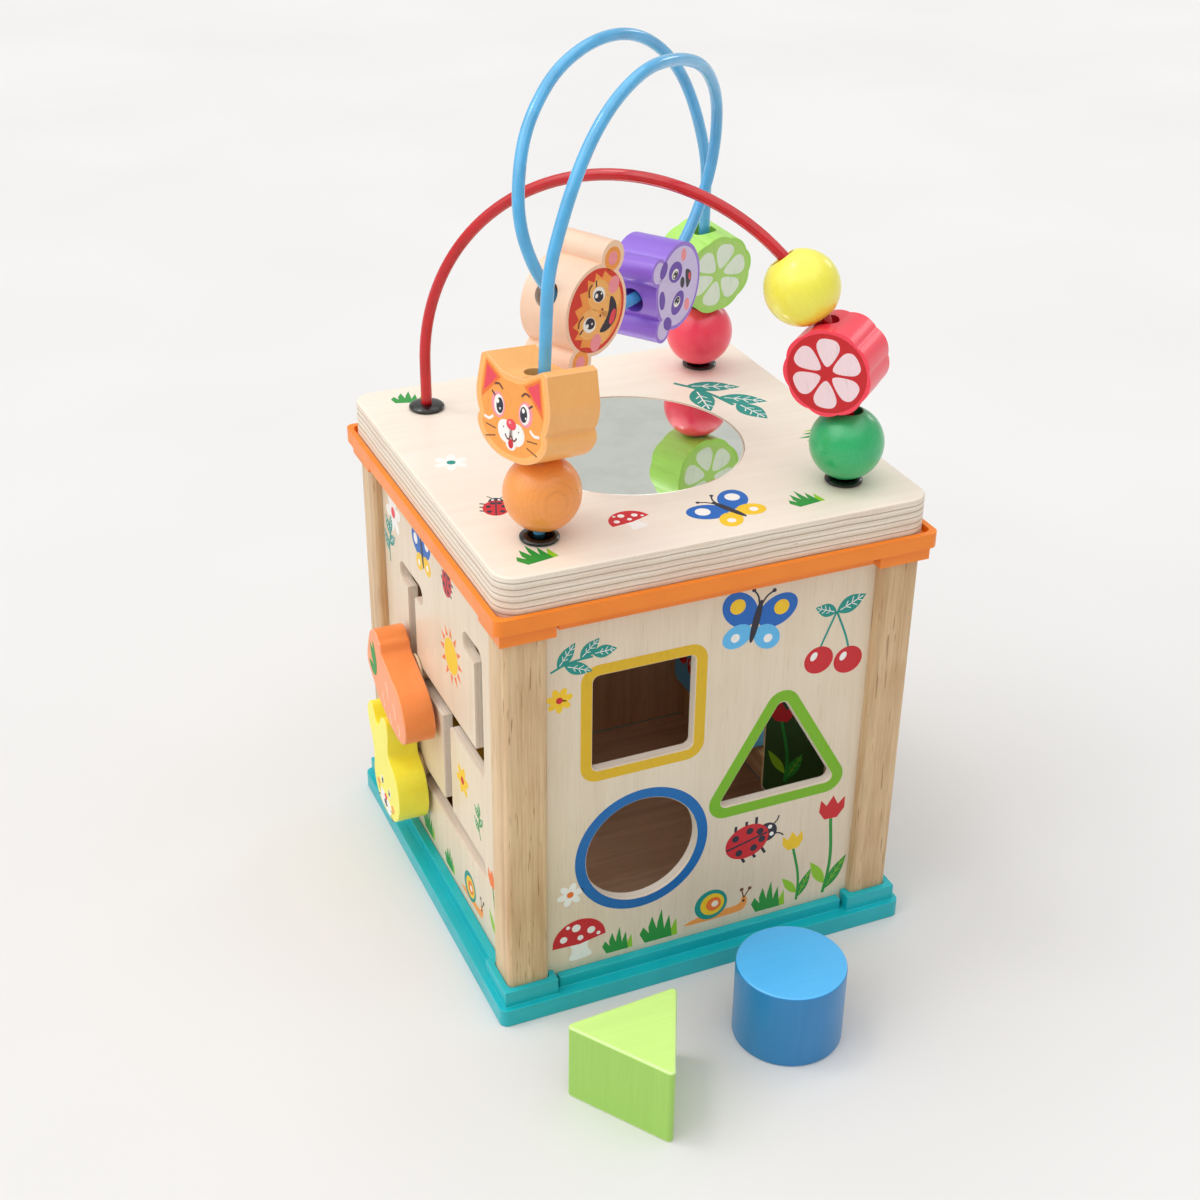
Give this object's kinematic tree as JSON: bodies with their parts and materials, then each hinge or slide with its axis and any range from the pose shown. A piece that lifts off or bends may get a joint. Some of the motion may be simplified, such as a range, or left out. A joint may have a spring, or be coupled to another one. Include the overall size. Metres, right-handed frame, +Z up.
{
  "type": "activity cube",
  "caption": "Wooden activity cube: shape-sorter front, slot-maze side, picture-block and gear sides, mirror top with two bead wires, loose shape blocks",
  "frame": {"origin": "centre of the tray's flat underside, on the floor", "axes": "+Z up; -Y the shape-sorter front, -X the slot maze, +X the picture blocks, +Y the gears"},
  "size_m": [0.1648, 0.2353, 0.3122],
  "materials": {
    "orange_plastic": "satin moulded",
    "teal_plastic": "satin moulded",
    "ply": "clear lacquer, printed faces",
    "beech": "sanded, clear lacquer",
    "mirror": "polished acrylic",
    "black_caps": "polished",
    "screw_steel": "zinc plated",
    "red_wire": "gloss coated",
    "blue_wire": "gloss coated",
    "orange_paint": "stained and lacquered",
    "yellow_paint": "stained and lacquered",
    "lime_paint": "stained and lacquered",
    "sky_paint": "stained and lacquered",
    "red_paint": "stained and lacquered",
    "green_paint": "stained and lacquered",
    "pink_paint": "stained and lacquered",
    "violet_paint": "stained and lacquered",
    "peach_paint": "stained and lacquered",
    "picture_wood": "printed and lacquered"
  },
  "bodies": {
    "cube": {"base_tray": "teal_plastic", "floor_board": "ply", "panel_front": "ply", "panel_left": "ply", "panel_back": "ply", "panel_right": "ply", "top_rim": "orange_plastic", "top_board": "ply", "mirror": "mirror", "wire_caps": "black_caps", "wire_nuts": "screw_steel", "red_wire": "red_wire", "blue_wire": "blue_wire", "rail_low": "beech", "rail_high": "beech", "picture_rods": "screw_steel", "gear_axles": "beech", "base_screws": "screw_steel", "rim_screws": "screw_steel", "board_screws": "screw_steel", "post_front_left": "beech", "post_front_right": "beech", "post_back_left": "beech", "post_back_right": "beech"},
    "carrot_runner": {"carrot_spool": "beech"},
    "carrot_figure": {"carrot": "orange_paint", "carrot_screw": "screw_steel"},
    "rabbit_runner": {"rabbit_spool": "beech"},
    "rabbit_figure": {"rabbit": "yellow_paint", "rabbit_screw": "screw_steel"},
    "orange_ball": {"orange_ball": "orange_paint"},
    "cat": {"cat_bead": "orange_paint"},
    "pink_ball": {"pink_ball": "pink_paint"},
    "green_slice": {"green_slice": "lime_paint"},
    "green_ball": {"green_ball": "green_paint"},
    "red_slice": {"red_slice": "red_paint"},
    "yellow_ball": {"yellow_ball": "yellow_paint"},
    "panda": {"panda_bead": "violet_paint"},
    "monkey": {"monkey_bead": "peach_paint"},
    "prism": {"prism_block": "lime_paint"},
    "cylinder": {"cylinder_block": "sky_paint"},
    "square": {"square_block": "yellow_paint"},
    "gear_left": {"gear_left": "red_paint"},
    "gear_middle": {"gear_middle": "yellow_paint"},
    "gear_right": {"gear_right": "green_paint"},
    "block_front": {"picture_block_front": "picture_wood"},
    "block_middle": {"picture_block_middle": "picture_wood"},
    "block_rear": {"picture_block_rear": "picture_wood"}
  },
  "joints": [
    {"name": "orange_ball_slide", "type": "slide", "parent": "cube", "child": "orange_ball", "axis": [0.087, 0.1133, 0.9898], "range_m": [0, 0.008]},
    {"name": "cat_slide", "type": "slide", "parent": "orange_ball", "child": "cat", "axis": [0.087, 0.1133, 0.9898], "range_m": [0, 0.01]},
    {"name": "pink_ball_slide", "type": "slide", "parent": "cube", "child": "pink_ball", "axis": [-0.0659, -0.1256, 0.9899], "range_m": [0, 0.008]},
    {"name": "green_slice_slide", "type": "slide", "parent": "pink_ball", "child": "green_slice", "axis": [-0.0659, -0.1256, 0.9899], "range_m": [0, 0.01]},
    {"name": "green_ball_arch", "type": "hinge", "parent": "cube", "child": "green_ball", "pos_m": [0, 0, 0.1915], "axis": [-0.7071, -0.7071, 0], "range_deg": [0, 36]},
    {"name": "red_slice_arch", "type": "hinge", "parent": "green_ball", "child": "red_slice", "pos_m": [0, 0, 0.1915], "axis": [-0.7071, -0.7071, 0], "range_deg": [0, 30]},
    {"name": "yellow_ball_arch", "type": "hinge", "parent": "red_slice", "child": "yellow_ball", "pos_m": [0, 0, 0.1915], "axis": [-0.7071, -0.7071, 0], "range_deg": [0, 73]},
    {"name": "panda_arc", "type": "hinge", "parent": "cube", "child": "panda", "pos_m": [0.01155, 0.00091, 0.26684], "axis": [0.6218, -0.7708, -0.1389], "range_deg": [-4, 34]},
    {"name": "monkey_arc", "type": "hinge", "parent": "cube", "child": "monkey", "pos_m": [-0.01515, -0.00066, 0.26643], "axis": [-0.5453, 0.8091, -0.2188], "range_deg": [-18, 7]},
    {"name": "carrot_slide", "type": "slide", "parent": "cube", "child": "carrot_runner", "axis": [0, -1, 0], "range_m": [-0.0046, 0.057]},
    {"name": "carrot_swivel", "type": "hinge", "parent": "carrot_runner", "child": "carrot_figure", "pos_m": [-0.0733, 0.0247, 0.084], "axis": [1, 0, 0], "range_deg": [-50, 22]},
    {"name": "rabbit_slide", "type": "slide", "parent": "cube", "child": "rabbit_runner", "axis": [0, 1, 0], "range_m": [-0.065, 0.0098]},
    {"name": "rabbit_swivel", "type": "hinge", "parent": "rabbit_runner", "child": "rabbit_figure", "pos_m": [-0.0733, 0.0266, 0.0399], "axis": [1, 0, 0], "range_deg": [-110, 28]},
    {"name": "prism_lift", "type": "slide", "parent": "cube", "child": "prism", "axis": [0, 0, 1], "range_m": [0, 0.15]},
    {"name": "cylinder_lift", "type": "slide", "parent": "cube", "child": "cylinder", "axis": [0, 0, 1], "range_m": [0, 0.15]},
    {"name": "square_lift", "type": "slide", "parent": "cube", "child": "square", "axis": [0, 0, 1], "range_m": [0, 0.1]},
    {"name": "gear_left_spin", "type": "hinge", "parent": "cube", "child": "gear_left", "pos_m": [-0.035, 0.0737, 0.09522], "axis": [0, 1, 0], "continuous": true},
    {"name": "gear_middle_spin", "type": "hinge", "parent": "cube", "child": "gear_middle", "pos_m": [0, 0.0737, 0.072], "axis": [0, 1, 0], "continuous": true},
    {"name": "gear_right_spin", "type": "hinge", "parent": "cube", "child": "gear_right", "pos_m": [0.035, 0.0737, 0.09522], "axis": [0, 1, 0], "continuous": true},
    {"name": "block_front_spin", "type": "hinge", "parent": "cube", "child": "block_front", "pos_m": [0.0575, -0.036, 0.04], "axis": [0, 0, 1], "continuous": true},
    {"name": "block_middle_spin", "type": "hinge", "parent": "cube", "child": "block_middle", "pos_m": [0.0575, 0, 0.04], "axis": [0, 0, 1], "continuous": true},
    {"name": "block_rear_spin", "type": "hinge", "parent": "cube", "child": "block_rear", "pos_m": [0.0575, 0.036, 0.04], "axis": [0, 0, 1], "continuous": true}
  ],
  "couplings": [
    {"joint": "gear_left_spin", "follows": "gear_middle_spin", "ratio": -1},
    {"joint": "gear_right_spin", "follows": "gear_middle_spin", "ratio": -1}
  ]
}
